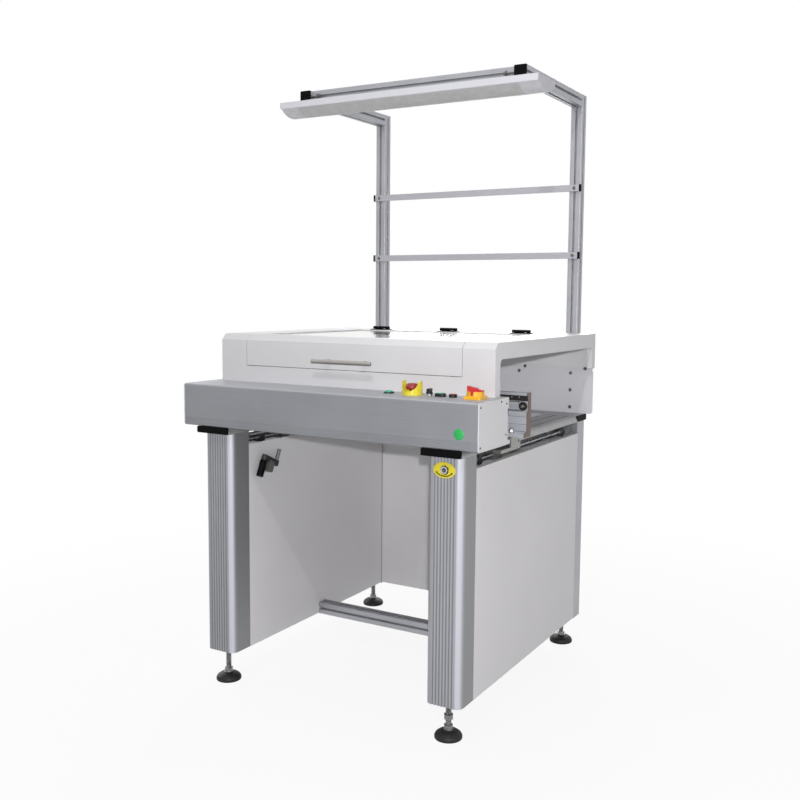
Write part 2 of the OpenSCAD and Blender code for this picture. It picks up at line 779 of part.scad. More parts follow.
module lead_screw_right() color("gainsboro") difference() {
  union() {
    width_screw(screw_x, leg_setback + 34);
    bar_y(screw_x, [leg_setback - 3, leg_setback + 36], screw_z, socket_radius);
  }
  bar_y(screw_x, [leg_setback - 4, leg_setback + 25], screw_z, crank_radius + 0.1);
}

module lead_screw_left() color("gainsboro") width_screw(-screw_x, front_leg_back + 4);

module guide_rods() color("gainsboro") both_sides()
  bar_y(rod_x, [front_leg_back, rear_leg_front], rod_z, rod_radius);

// Supports of the screws and rods, and the bracket at the drive shaft's end.
module bearing_blocks() color("dimgray") {
  both_sides() {
    for (y = [[213, 231], [sync_y[0] - 20, sync_y[0] - 4]]) difference() {
      block([screw_x - 17, screw_x + 12], y, [screw_z - 12, leg_top]);
      bar_y(screw_x, [y[0] - 1, y[1] + 1], screw_z, screw_radius + running_fit);
    }
    for (y = [[front_leg_back, front_leg_back + 12], [rear_leg_front - 6, rear_leg_front]])
      difference() {
        block([rod_x - 12, rod_x + 11], y, [rod_z - 8.4, leg_top]);
        bar_y(rod_x, [y[0] - 1, y[1] + 1], rod_z, rod_radius);
      }
  }
  difference() {
    block([-half_length + 2, -arm_reach + 34], [cross_beam_front + 1, cross_beam_front + 13],
      [beam_bottom, pulley_z + 14]);
    bar_y(drive_x, [cross_beam_front, cross_beam_front + 8], pulley_z,
      journal_radius + running_fit);
  }
}

// Toothed belt that turns both width screws together.
module sync_belt() color("black") along_y([sync_y[0] + 1, sync_y[1] - 1]) difference() {
  loop_outline(screw_x, screw_z, sync_radius + 1.4);
  loop_outline(screw_x, screw_z, sync_radius + running_fit);
}

// ---- hood ----

// Section of the hood's sheet, from the front wall over to the back wall.
module hood_skin(inset) polygon([
  [back(hood_front + inset), beam_top - (inset > 0 ? 1 : 0)],
  [back(hood_front + inset), hood_eave - inset * 0.41],
  [back(hood_front + hood_slope + inset * 0.41), hood_top - inset],
  [back(hood_back - inset), hood_top - inset],
  [back(hood_back - inset), beam_top - (inset > 0 ? 1 : 0)]]);

module skin_band(outside, inside) difference() {
  hood_skin(outside);
  hood_skin(inside);
}

module side_opening(extra)
  panel_outline([back(opening_front - extra), back(opening_back + extra)],
    [beam_top - 40, opening_top + extra], 14 + extra, 14 + extra);

module hood_shell() color("whitesmoke") {
  difference() {
    union() {
      along_x([-hood_reach, hood_reach]) skin_band(0, hood_sheet);
      both_sides() {
        along_x([hood_reach - hood_sheet, hood_reach]) hood_skin(0);
        along_x([hood_reach - 18, hood_reach - 1]) intersection() {
          side_opening(hood_sheet);
          hood_skin(0);
        }
      }
    }
    along_x([-hood_reach - 1, hood_reach + 1]) side_opening(0);
    block([-lid_reach - 1.5, lid_reach + 1.5], [hood_front - 1, hinge_line - 2],
      [lid_bottom - 1.5, hood_top + 1]);
    block([-hood_reach - 1, hood_reach + 1], [hood_front + 40, hood_back + 1],
      [beam_top - 41, hood_foot]);
  }
  // gutters that the lid's side edges close over
  both_sides() intersection() {
    union() {
      along_x([lid_reach + 1.5, lid_reach + 3.5]) skin_band(hood_sheet, 18);
      along_x([lid_reach - 8, lid_reach + 3.5]) skin_band(15.5, 18);
    }
    block([0, hood_reach], [hood_front, hinge_line], [beam_top, hood_top]);
  }
}

// Lower back plate, behind the conveyor, screwed to the lamp posts.
module rear_plate() color("whitesmoke") along_y([hood_back - plate, hood_back])
  panel_outline([-hood_reach + 4, hood_reach - 4], [beam_bottom, hood_foot - 6], 10, 10);

// Section of the lid's sheet, with folded edges as deep as depth.
module lid_skin(depth) polygon([
  [back(hood_front), lid_bottom], [back(hood_front), hood_eave],
  [back(hood_front + hood_slope), hood_top], [back(hinge_line - 4), hood_top],
  [back(hinge_line - 4), hood_top - depth],
  [back(hood_front + hood_slope + depth * 0.41), hood_top - depth],
  [back(hood_front + depth), hood_eave - depth * 0.41],
  [back(hood_front + depth), lid_bottom]]);

module lid_panel() color("whitesmoke") {
  difference() {
    along_x([-lid_reach, lid_reach]) lid_skin(hood_sheet);
    translate([0, 0, hood_top - hood_sheet - 1]) along_z([0, hood_sheet + 2])
      panel_outline([-lid_reach + 30, lid_reach - 30],
        [back(hood_front + 56), back(hinge_line - 34)], 12, 12);
  }
  both_sides() along_x([lid_reach - 2, lid_reach]) lid_skin(14);
}

module lid_window() color("lightyellow", 0.4)
  block([-lid_reach + 20, lid_reach - 20], [hood_front + 46, hinge_line - 24],
    [hood_top - hood_sheet - 4, hood_top - hood_sheet]);

module lid_handle() color("silver") {
  bar_x([-102, 102], hood_front - 35, beam_top + 77, 6);
  for (x = [-64, 64]) bar_y(x, [hood_front - 35, hood_front], beam_top + 77, 5);
}

module hood_hinges() color("black") for (x = hinge_places) {
  block([x - 32, x + 32], [hinge_line + 7, hinge_line + 25], [hood_top, hood_top + 2.6]);
  for (span = [[x - 32, x - 12.2], [x + 12.2, x + 32]]) {
    bar_x(span, hinge_line, hinge_z, knuckle_radius);
    block(span, [hinge_line, hinge_line + 8], [hood_top + 0.8, hood_top + 2.6]);
  }
  bar_x([x - 31, x + 31], hinge_line, hinge_z, pin_radius);
}

module lid_hinges() color("black") for (x = hinge_places) difference() {
  union() {
    block([x - 32, x + 32], [hinge_line - 25, hinge_line - 7], [hood_top, hood_top + 2.6]);
    bar_x([x - 11.9, x + 11.9], hinge_line, hinge_z, knuckle_radius);
    block([x - 11.9, x + 11.9], [hinge_line - 8, hinge_line],
      [hood_top + 0.8, hood_top + 2.6]);
  }
  bar_x([x - 13, x + 13], hinge_line, hinge_z, pin_radius + running_fit);
}

// ---- lamp gantry ----

module lamp_posts() color("silver") both_sides()
  translate([post_middle, back(frame_depth + strut / 2), 0])
    along_z([leg_top, post_top]) square_strut();

module lamp_arms() color("silver") both_sides()
  translate([post_middle, 0, lamp_top + strut / 2])
    along_y([arm_front, frame_depth]) square_strut();

// Carries the lamp between the two arms.
module lamp_beam() color("silver")
  along_x([-post_middle + strut / 2, post_middle - strut / 2])
    translate([back(beam_middle), lamp_top + strut / 2]) square_strut();

module cross_bars() color("silver") for (z = bar_heights)
  block([-bar_reach, bar_reach], [frame_depth - bar_thickness, frame_depth],
    [z - bar_height / 2, z + bar_height / 2]);

// Section of the lamp's rounded cover, below its body.
module bulge_section(inset) intersection() {
  translate([back(lamp_middle), lamp_top - lamp_body - lamp_bulge + bulge_radius])
    circle(r = bulge_radius - inset, $fn = 128);
  translate([back(lamp_middle) - bulge_half, lamp_bottom])
    square([2 * bulge_half, lamp_bulge + (inset > 0 ? 1 : 0)]);
}

module lamp_housing() color("white")
  along_x([-lamp_length / 2 + 2, lamp_length / 2 - 2]) difference() {
    translate([back(lamp_middle) - lamp_width / 2, lamp_top - lamp_body])
      square([lamp_width, lamp_body]);
    translate([back(lamp_middle) - lamp_width / 2 + 4, lamp_top - lamp_body + 3])
      square([lamp_width - 8, lamp_body - 6]);
    translate([back(lamp_middle) - bulge_half + 2.5, lamp_top - lamp_body - 1])
      square([2 * bulge_half - 5, lamp_body - 5]);
  }

module led_strips() color("lemonchiffon") for (y = [-32, 32])
  block([-lamp_length / 2 + 20, lamp_length / 2 - 20],
    [lamp_middle + y - 9, lamp_middle + y + 9], [lamp_top - 6, lamp_top - 3]);

module lamp_diffuser() color("gainsboro", 0.6)
  along_x([-lamp_length / 2 + lamp_cap, lamp_length / 2 - lamp_cap]) difference() {
    bulge_section(0);
    bulge_section(2);
  }

module lamp_end_caps() color("lightgray") both_sides() {
  along_x([lamp_length / 2 - lamp_cap + 0.2, lamp_length / 2]) difference() {
    bulge_section(0);
    bulge_section(3);
  }
  along_x([lamp_length / 2 - 2, lamp_length / 2]) {
    bulge_section(0);
    translate([back(lamp_middle) - lamp_width / 2, lamp_top - lamp_body])
      square([lamp_width, lamp_body]);
  }
}

// ---- hand crank, parked on the left side wall ----

module at_crank() translate([crank_wall_x + 15, back(222), leg_top - 116])
  rotate([-25, 0, 0]) children();

// Fork on the wall that the crank's arm drops into.
module crank_clip() color("gray") at_crank() difference() {
  translate([-15, -45, -36]) cube([26, 27, 34]);
  translate([-7 - gap, -46, -8.5 - gap]) cube([14 + 2 * gap, 29, 12]);
}

module crank_handle() color("dimgray") at_crank() {
  translate([-7, -62, -8.5]) cube([14, 62, 17]);
  for (y = [-62, 0]) translate([0, y, -8.5]) cylinder(r = 9, h = 17, $fn = fine);
  translate([0, 0, 8]) cylinder(r = crank_radius, h = 38, $fn = fine);
  translate([0, -62, -56.5]) cylinder(r = 3.5, h = 49, $fn = fine);
}

module crank_grip() color("black") at_crank() translate([0, -62, -62]) difference() {
  union() {
    cylinder(r = 11, h = 50, $fn = fine);
    translate([0, 0, 50]) cylinder(r1 = 11, r2 = 9.5, h = 3, $fn = fine);
  }
  translate([0, 0, 5]) cylinder(r = 3.5 + running_fit, h = 60, $fn = fine);
}

front_legs();
rear_legs();
leg_foot_plates();
side_arms();
profile_caps();
rear_cross_beam();
lower_stretcher();
lower_panels();
crank_clip();
foot_front_left();
foot_front_right();
foot_rear_left();
foot_rear_right();
beam_cover();
beam_end_plates();
machine_screws();
control_bezels();
pilot_lens();
start_button();
stop_button();
selector_knob();
estop_shroud();
estop_button();
isolator_base();
isolator_handle();
drive_motor();
control_unit();
power_inlet();
front_rail();
front_belt();
front_idler();
drive_shaft();
rear_rail();
rear_belt();
rear_idler();
rear_drive_pulley();
rail_end_plates();
rail_carriages();
lead_screw_right();
lead_screw_left();
guide_rods();
bearing_blocks();
sync_belt();
hood_shell();
rear_plate();
lid_panel();
lid_window();
lid_handle();
hood_hinges();
lid_hinges();
lamp_posts();
lamp_arms();
lamp_beam();
cross_bars();
lamp_housing();
led_strips();
lamp_diffuser();
lamp_end_caps();
crank_handle();
crank_grip();
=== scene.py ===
import bmesh
import bpy
import math
import numpy as np
from mathutils import Matrix, Vector


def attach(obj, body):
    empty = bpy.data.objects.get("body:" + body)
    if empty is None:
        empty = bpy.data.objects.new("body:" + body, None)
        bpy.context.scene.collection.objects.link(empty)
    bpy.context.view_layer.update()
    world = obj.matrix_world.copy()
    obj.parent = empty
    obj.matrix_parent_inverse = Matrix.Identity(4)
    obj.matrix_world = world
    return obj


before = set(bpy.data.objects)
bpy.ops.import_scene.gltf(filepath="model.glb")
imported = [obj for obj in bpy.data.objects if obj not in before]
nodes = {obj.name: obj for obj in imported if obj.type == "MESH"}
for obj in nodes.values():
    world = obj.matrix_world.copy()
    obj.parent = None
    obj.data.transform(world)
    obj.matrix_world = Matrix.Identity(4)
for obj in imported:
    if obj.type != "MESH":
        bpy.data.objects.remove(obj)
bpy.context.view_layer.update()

world = bpy.context.scene.world or bpy.data.worlds.new("studio")
scene = bpy.context.scene
scene.world = world
scene.view_settings.view_transform = "Standard"


def back(y):
    return y / 1000 - 0.5           # distance behind the beam's front, in mm, to metres


class Wire:
    # one output socket; sums on it add Math nodes to its finish
    def __init__(self, finish, socket):
        self.finish, self.socket = finish, socket

    def __add__(self, other): return self.finish.math("ADD", self, other)
    def __radd__(self, other): return self.finish.math("ADD", other, self)
    def __sub__(self, other): return self.finish.math("SUBTRACT", self, other)
    def __rsub__(self, other): return self.finish.math("SUBTRACT", other, self)
    def __mul__(self, other): return self.finish.math("MULTIPLY", self, other)
    def __rmul__(self, other): return self.finish.math("MULTIPLY", other, self)
    def __truediv__(self, other): return self.finish.math("DIVIDE", self, other)
    def __gt__(self, other): return self.finish.math("GREATER_THAN", self, other)
    def __lt__(self, other): return self.finish.math("LESS_THAN", self, other)


class Finish:
    # a material built node by node round one Principled shader
    def __init__(self, name, **fixed):
        self.material = bpy.data.materials.new(name)
        self.material.use_nodes = True
        self.tree = self.material.node_tree
        self.shader = self.tree.nodes["Principled BSDF"]
        self.output = self.tree.nodes["Material Output"]
        for key, value in fixed.items():
            self.set(key, value)

    def set(self, key, value):
        socket = self.shader.inputs[key.replace("_", " ")]
        if isinstance(value, Wire):
            self.tree.links.new(value.socket, socket)
        else:
            socket.default_value = (*value, 1) if isinstance(value, tuple) and len(value) == 3 else value

    def add(self, kind, settings, inputs, out=0):
        node = self.tree.nodes.new(kind)
        for key, value in settings.items():
            if key == "stops":
                ramp = node.color_ramp
                while len(ramp.elements) < len(value):
                    ramp.elements.new(0.5)
                for stop, (place, colour) in zip(ramp.elements, value):
                    stop.position, stop.color = place, (*colour, 1)
            else:
                setattr(node, key, value)
        for key, value in inputs.items():
            socket = node.inputs[key]
            if isinstance(value, Wire):
                self.tree.links.new(value.socket, socket)
            elif socket.type == "RGBA" and len(value) == 3:
                socket.default_value = (*value, 1)
            else:
                socket.default_value = value
        return Wire(self, node.outputs[out])

    def math(self, operation, *values):
        return self.add("ShaderNodeMath", {"operation": operation}, dict(enumerate(values)))

    def place(self):
        return self.add("ShaderNodeTexCoord", {}, {}, "Object")

    def axes(self, centre=(0, 0, 0)):
        # x, y and z, measured from the centre
        shift = tuple(-c for c in centre)
        moved = self.add("ShaderNodeMapping", {}, {"Vector": self.place(), "Location": shift})
        split = self.add("ShaderNodeSeparateXYZ", {}, {"Vector": moved}).socket.node
        return [Wire(self, split.outputs[i]) for i in range(3)]

    def noise(self, scale, detail=3.0, rough=0.55):
        # cloud noise; scale is cells per metre, the same all ways or one each for x, y and z
        scale = scale if isinstance(scale, tuple) else (scale,) * 3
        stretched = self.add("ShaderNodeMapping", {}, {"Vector": self.place(), "Scale": scale})
        inputs = {"Vector": stretched, "Scale": 1.0, "Detail": detail, "Roughness": rough}
        return self.add("ShaderNodeTexNoise", {}, inputs, "Fac")

    def streaks(self, along, across, length, detail=2.0):
        # noise drawn out along one axis: cells per metre over the axis and along it
        scale = [across] * 3
        scale[along] = length
        return self.noise(tuple(scale), detail)

    def ramp(self, value, *stops):
        return self.add("ShaderNodeValToRGB", {"stops": stops}, {"Fac": value}, "Color")

    def twoTone(self, value, dark, light, spread=0.20):
        # from dark to light over the middle of a noise, twice the spread wide
        return self.ramp(value, (0.5 - spread, dark), (0.5 + spread, light))

    def mix(self, mask, low, high):
        return self.add("ShaderNodeMix", {"data_type": "RGBA"}, {0: mask, 6: low, 7: high}, 2)

    def smooth(self, value, low, high):
        # 0 below low, 1 above high, eased between
        inputs = {"Value": value, "From Min": low, "From Max": high}
        return self.add("ShaderNodeMapRange", {"interpolation_type": "SMOOTHSTEP"}, inputs)

    def band(self, value, rise, full, fade, end):
        # 1 between full and fade, 0 before rise and after end, eased between
        return self.smooth(value, rise, full) * (1 - self.smooth(value, fade, end))

    def bump(self, height, depth, strength, under=None):
        inputs = {"Height": height, "Distance": depth, "Strength": strength}
        if under:
            inputs["Normal"] = under
        return self.add("ShaderNodeBump", {}, inputs, "Normal")

    def relief(self, height, depth, strength, edge):
        # bump over edges that the shading rounds by a radius
        rounded = self.add("ShaderNodeBevel", {"samples": 4}, {"Radius": edge})
        self.set("Normal", self.bump(height, depth, strength, rounded))


def dress(finish, *names):
    for name in names:
        data = nodes[name].data
        data.materials.clear()
        data.materials.append(finish.material)


# draw lines of an extruded profile: cells per metre over and along it, and their depth in metres
drawn = {"across": 1500.0, "along": 3.0, "depth": 0.00002, "strength": 0.5}

# satin anodised extrusions, a light and a dark tone of the same metal, linear values
aluminium = {"light": (0.44, 0.445, 0.475), "dark": (0.33, 0.335, 0.36), "metal": 0.75, "rough": 0.34,
             "roughLines": 0.16, "roughClouds": 0.08, "clouds": 9.0, "lineShare": 0.45, "edge": 0.0009}


def anodised(name, along):
    # fine draw lines along the profile over a cloudy tone
    p = aluminium
    finish = Finish(name, Metallic=p["metal"])
    lines = finish.streaks(along, drawn["across"], drawn["along"])
    cloud = finish.noise(p["clouds"], 4.0)
    tone = lines * p["lineShare"] + cloud * (1 - p["lineShare"])
    finish.set("Base_Color", finish.twoTone(tone, p["dark"], p["light"]))
    finish.set("Roughness", p["rough"] + p["roughLines"] * lines + p["roughClouds"] * cloud)
    finish.relief(lines, drawn["depth"], drawn["strength"], p["edge"])
    return finish


# recess is the colour of a painted shade on the belt recess's faces above the belt
rails = {"light": (0.52, 0.53, 0.58), "dark": (0.40, 0.41, 0.445), "metal": 0.25, "clouds": 6.0,
         "groove": (0.20, 0.205, 0.22), "lines": (0.826, 0.846, 0.868), "half": 0.0007, "soft": 0.4,
         "recess": (0.030, 0.027, 0.024), "from": 0.9115, "to": 0.9277,
         "faces": (back(184), back(324)), "near": 0.001, "rough": 0.38, "roughLines": 0.14,
         "lineHeight": 0.2, "depth": 0.0003, "edge": 0.0008}


def railFinish():
    # dull anodised rail with three shallow extrusion lines at fixed heights,
    # its belt recess coloured dark above the belt, a painted shade
    p = rails
    finish = Finish("anodisedRail", Metallic=p["metal"])
    x, y, z = finish.axes()
    lines = finish.streaks(0, drawn["across"], drawn["along"])
    cloud = finish.noise(p["clouds"])
    groove = 0
    for height in p["lines"]:
        off = finish.math("ABSOLUTE", z - height)
        inner, outer = p["half"] * (1 - p["soft"]), p["half"] * (1 + p["soft"])
        groove = (1 - finish.smooth(off, inner, outer)) + groove
    tone = finish.twoTone(lines * 0.5 + cloud * 0.5, p["dark"], p["light"])
    wall = 0
    for face in p["faces"]:
        wall = (finish.math("ABSOLUTE", y - face) < p["near"]) + wall
    # painted shade: the recess faces above the belt are coloured near black
    shade = wall * (z > p["from"]) * (z < p["to"])
    finish.set("Base_Color", finish.mix(shade, finish.mix(groove, tone, p["groove"]), p["recess"]))
    finish.set("Roughness", p["rough"] + p["roughLines"] * lines)
    finish.relief(lines * p["lineHeight"] - groove, p["depth"], 0.6, p["edge"])
    return finish


dress(railFinish(), "front_rail", "rear_rail")

# lip and hollow are places across one flute, from 0 to 1, which carry a painted highlight and a painted shade;
# polish is angles round the corner's arc, between which a painted highlight lies; the right leg's lighter tone
# is painted light and the side faces' dark tone is painted shade
legs = {"middle": 0.390, "pitch": 0.0096, "flutes": 3.5, "end": 0.2, "metal": 0.42, "clouds": (7.0, 7.0, 2.5),
        "lineShare": 0.4, "light": (0.315, 0.32, 0.342), "dark": (0.245, 0.25, 0.268),
        "right": (0.42, 0.425, 0.455), "rightLegPaintedLightShare": 0.4, "face": (back(28.4), back(29.4)),
        "paintedLipShine": (0.50, 0.51, 0.55), "lip": (0.68, 0.76, 0.84, 0.92), "lipShare": 0.8,
        "shade": (0.15, 0.153, 0.165), "hollow": (0.26, 0.32, 0.48, 0.56), "hollowShare": 0.6,
        "flank": (0.235, 0.237, 0.245), "flankFrom": back(38), "flankTo": back(50),
        "arc": (0.032, back(48)), "polish": (0.10, 0.36, 0.80, 1.25), "corner": (0.56, 0.57, 0.63),
        "rough": 0.22, "roughLines": 0.10, "roughClouds": 0.06, "roughFlank": 0.14, "edge": 0.0007}


def legFinish():
    # each flute's right lip carries a painted highlight and its left half a painted shade: a saw of the
    # distance across the leg;
    # the round right corner carries a painted highlight between two angles of its arc; the side faces carry a
    # painted shade and the right leg a lighter painted tone
    p = legs
    finish = Finish("anodisedLeg", Metallic=p["metal"])
    x, y, z = finish.axes()
    across = x - p["middle"] * finish.math("SIGN", x)
    lines = finish.streaks(2, drawn["across"], drawn["along"])
    cloud = finish.noise(p["clouds"], 4.0)
    phase = finish.math("FRACT", across / p["pitch"] + 0.5)
    lip = finish.band(phase, *p["lip"])
    hollow = finish.band(phase, *p["hollow"])
    reach = p["pitch"] * p["flutes"]
    fluted = finish.smooth(finish.math("ABSOLUTE", across), reach + p["pitch"] * p["end"], reach)
    front = 1 - finish.smooth(y, *p["face"])
    both = finish.twoTone(lines * p["lineShare"] + cloud * (1 - p["lineShare"]), p["dark"], p["light"])
    # painted light: the right leg's tone is made lighter
    tone = finish.mix((x > 0) * p["rightLegPaintedLightShare"], both, p["right"])
    # painted shade: the side faces are coloured darker
    flank = finish.smooth(y, p["flankFrom"], p["flankTo"])
    # painted highlight: a lighter tone round the right corner's arc
    turn = finish.math("ARCTAN2", across - p["arc"][0], p["arc"][1] - y)
    corner = finish.band(turn, *p["polish"])
    plain = finish.mix(flank * (0.75 + 0.25 * lines), tone, p["flank"])
    shaded = finish.mix(corner, plain, p["corner"])
    # painted shade in each flute's hollow and painted highlight on each flute's lip
    fluteShade = finish.mix(hollow * fluted * front * p["hollowShare"], shaded, p["shade"])
    finish.set("Base_Color", finish.mix(lip * fluted * front * p["lipShare"], fluteShade, p["paintedLipShine"]))
    grain = p["rough"] + p["roughLines"] * lines + p["roughClouds"] * cloud
    finish.set("Roughness", grain + p["roughFlank"] * flank)
    finish.relief(lines, drawn["depth"], drawn["strength"], p["edge"])
    return finish


dress(anodised("anodisedUpright", 2), "lamp_posts", "rear_legs")
dress(anodised("anodisedAcross", 0), "lower_stretcher", "lamp_beam", "rear_cross_beam")
dress(anodised("anodisedDeep", 1), "lamp_arms")


arms = {"light": (0.42, 0.42, 0.425), "dark": (0.31, 0.31, 0.315), "metal": 0.55, "rough": 0.40,
        "groove": (0.055, 0.055, 0.058), "grooves": (0.375, 0.417), "half": 0.0019,
        "top": 0.8075, "deep": 0.0030}


def armFinish():
    # anodised arm whose long grooves in the upper face carry a painted shade
    p, q = arms, aluminium
    finish = Finish("anodisedArm", Metallic=p["metal"])
    x, y, z = finish.axes()
    lines = finish.streaks(1, drawn["across"], drawn["along"])
    cloud = finish.noise(q["clouds"], 4.0)
    across = finish.math("ABSOLUTE", x)
    groove = 0
    for place in p["grooves"]:
        groove = (finish.math("ABSOLUTE", across - place) < p["half"]) + groove
    tone = finish.twoTone(lines * q["lineShare"] + cloud * (1 - q["lineShare"]), p["dark"], p["light"])
    # painted shade: the grooves of the upper face are coloured near black
    finish.set("Base_Color", finish.mix(groove * (z > p["top"] - p["deep"]), tone, p["groove"]))
    finish.set("Roughness", p["rough"] + q["roughLines"] * lines + q["roughClouds"] * cloud)
    finish.relief(lines, drawn["depth"], drawn["strength"], q["edge"])
    return finish


dress(armFinish(), "side_arms")
dress(legFinish(), "front_legs")


brushed = {"across": 2500.0, "along": 20.0, "roughLines": 0.15, "spread": 0.25,
           "depth": 0.00003, "edge": 0.0006}


def brushedBar(name, along, light, dark, rough, metal=1.0):
    # milled or brushed metal, lines along one axis
    p = brushed
    finish = Finish(name, Metallic=metal)
    lines = finish.streaks(along, p["across"], p["along"], 3.0)
    finish.set("Base_Color", finish.twoTone(lines, dark, light, p["spread"]))
    finish.set("Roughness", rough + p["roughLines"] * lines)
    finish.relief(lines, p["depth"], 0.5, p["edge"])
    return finish


dress(brushedBar("satinBar", 0, (0.48, 0.48, 0.52), (0.40, 0.40, 0.435), 0.42, 0.45), "cross_bars")
dress(brushedBar("milledCarriage", 1, (0.34, 0.345, 0.33), (0.24, 0.242, 0.235), 0.34, 0.8), "rail_carriages")
dress(brushedBar("brushedHandle", 0, (0.42, 0.405, 0.385), (0.26, 0.245, 0.23), 0.3), "lid_handle")


powder = {"coat": 0.10, "coatRough": 0.25, "clouds": 5.0, "fade": 0.04, "roughClouds": 0.1,
          "grain": 700.0, "peel": 0.00003, "edge": 0.0012}


def coated(name, colour, rough=0.42):
    # powder coat: a fine orange peel over a faintly uneven tone
    p = powder
    finish = Finish(name, Coat_Roughness=p["coatRough"], Coat_Weight=p["coat"])
    cloud = finish.noise(p["clouds"], 4.0)
    dark = tuple(c * (1 - p["fade"]) for c in colour)
    finish.set("Base_Color", finish.twoTone(cloud, dark, colour))
    finish.set("Roughness", rough + p["roughClouds"] * cloud)
    grain = finish.noise(p["grain"], 2.0)
    finish.relief(grain, p["peel"], 0.6, p["edge"])
    return finish


dress(coated("whitePowderCoat", (0.68, 0.67, 0.69)), "hood_shell", "lid_panel")
dress(coated("lampWhiteCoat", (0.71, 0.705, 0.76)), "lamp_housing")
panelCoat = coated("panelPowderCoat", (0.72, 0.705, 0.725), 0.5)
plateCoat = coated("rearPlateCoat", (0.66, 0.65, 0.69), 0.5)
dress(panelCoat, "lower_panels")
dress(plateCoat, "rear_plate")
dress(coated("endPlateCoat", (0.66, 0.655, 0.675), 0.45), "beam_end_plates")

# heights are above the beam's lower edge
beam = {"light": (0.285, 0.295, 0.318), "dark": (0.22, 0.225, 0.243), "top": (0.40, 0.41, 0.435),
        "bottom": 0.808, "topFrom": 0.1238, "topTo": 0.1268, "ribs": (0.028, 0.034), "ribPitch": 0.005,
        "metal": 0.25, "along": 2.0, "across": 900.0, "clouds": 4.0, "rough": 0.40, "roughLines": 0.12,
        "depth": 0.00008, "edge": 0.0008}


def beamFinish():
    # satin grey beam, brushed along, with fine ribs near the lower edge: a sine of the height; its top face is
    # coloured lighter, a painted light
    p = beam
    finish = Finish("beamSatinGrey", Metallic=p["metal"])
    x, y, z = finish.axes((0, 0, p["bottom"]))
    lines = finish.streaks(0, p["across"], p["along"], 3.0)
    cloud = finish.noise(p["clouds"])
    tone = finish.twoTone(lines * 0.5 + cloud * 0.5, p["dark"], p["light"])
    # painted light: the top face is a lighter tone
    top = finish.smooth(z, p["topFrom"], p["topTo"])
    finish.set("Base_Color", finish.mix(top * (0.8 + 0.2 * cloud), tone, p["top"]))
    finish.set("Roughness", p["rough"] + p["roughLines"] * lines)
    lower = 1 - finish.smooth(z, *p["ribs"])
    ribs = finish.math("SINE", z * (math.tau / p["ribPitch"]))
    finish.relief(lines * 0.3 + ribs * lower * 0.5, p["depth"], 0.6, p["edge"])
    return finish


dress(beamFinish(), "beam_cover")


plastic = {"clouds": 40.0, "dark": 0.86, "roughClouds": 0.12, "grain": 2200.0, "edge": 0.0006}


def moulded(name, colour, rough=0.45, grain=0.00004, coat=0.0, **fixed):
    # moulded plastic: fine sparked texture and a faint change of tone
    p = plastic
    finish = Finish(name, **fixed)
    cloud = finish.noise(p["clouds"])
    dark = tuple(c * p["dark"] for c in colour)
    finish.set("Base_Color", finish.twoTone(cloud, dark, colour))
    finish.set("Roughness", rough + p["roughClouds"] * cloud)
    finish.set("Coat_Weight", coat)
    texture = finish.noise(p["grain"], 2.0)
    finish.relief(texture, grain, 0.5, p["edge"])
    return finish


blackPlastic = moulded("blackCapPlastic", (0.0032, 0.0032, 0.0036), 0.50, Specular_IOR_Level=0.05)
yellowVinyl = moulded("yellowVinyl", (0.72, 0.60, 0.02), 0.4, 0.00001, 0.2)
greenVinyl = moulded("greenVinyl", (0.015, 0.40, 0.085), 0.4, 0.00001, 0.2)
knobPlastic = moulded("knobPlastic", (0.008, 0.008, 0.009), 0.34, coat=0.15, Specular_IOR_Level=0.3)
dress(blackPlastic, "profile_caps", "hood_hinges", "lid_hinges", "power_inlet")
dress(knobPlastic, "selector_knob")

bezels = {"black": (0.009, 0.009, 0.010), "collar": (0.62, 0.62, 0.63), "collarDark": (0.45, 0.45, 0.46),
          "from": 0.294, "to": 0.314, "clouds": 60.0, "rough": 0.36, "polish": 0.18, "edge": 0.0005}


def bezelFinish():
    # black rims; the collar under the knob is bright plated metal
    p = bezels
    finish = Finish("bezelRims", Specular_IOR_Level=0.35)
    x, y, z = finish.axes()
    collar = (x > p["from"]) * (x < p["to"])
    cloud = finish.noise(p["clouds"])
    plated = finish.twoTone(cloud, p["collarDark"], p["collar"])
    finish.set("Base_Color", finish.mix(collar, p["black"], plated))
    finish.set("Metallic", collar)
    finish.set("Roughness", p["rough"] - p["polish"] * collar + 0.1 * cloud)
    finish.relief(cloud, 0.00003, 0.5, p["edge"])
    return finish


dress(bezelFinish(), "control_bezels")
dress(moulded("gripPlastic", (0.0036, 0.0036, 0.004), 0.42, Specular_IOR_Level=0.08), "crank_grip")
dress(moulded("greyPlastic", (0.42, 0.42, 0.43), 0.5), "control_unit")
dress(moulded("clipPlastic", (0.115, 0.112, 0.104), 0.5), "crank_clip")
dress(moulded("lampCapPlastic", (0.62, 0.62, 0.655), 0.45), "lamp_end_caps")
dress(moulded("yellowPlastic", (0.80, 0.66, 0.03), 0.32, coat=0.3), "estop_shroud")
dress(moulded("amberPlastic", (0.88, 0.47, 0.012), 0.32, coat=0.3), "isolator_base")
dress(moulded("redPlastic", (0.60, 0.012, 0.014), 0.3, coat=0.4), "isolator_handle")
dress(moulded("mushroomRed", (0.30, 0.020, 0.022), 0.38, coat=0.1), "estop_button")
dress(moulded("stopRed", (0.50, 0.010, 0.022), 0.28, coat=0.4), "stop_button")
dress(moulded("startGreen", (0.0, 0.50, 0.29), 0.28, coat=0.4), "start_button")
dress(moulded("pilotGreen", (0.01, 0.34, 0.20), 0.22, coat=0.6), "pilot_lens")
dress(moulded("ledBoard", (0.80, 0.78, 0.68), 0.5), "led_strips")
dress(moulded("frostedDiffuser", (0.53, 0.53, 0.535), 0.5), "lamp_diffuser")
dress(moulded("beltRubber", (0.03, 0.032, 0.03), 0.62, 0.00008), "front_belt", "rear_belt", "sync_belt")


machined = {"smudges": 60.0, "spread": 0.15, "roughSmudges": 0.18, "scratches": (2600.0, 300.0, 2600.0),
            "depth": 0.00002, "edge": 0.0004, "threadDepth": 0.0004}


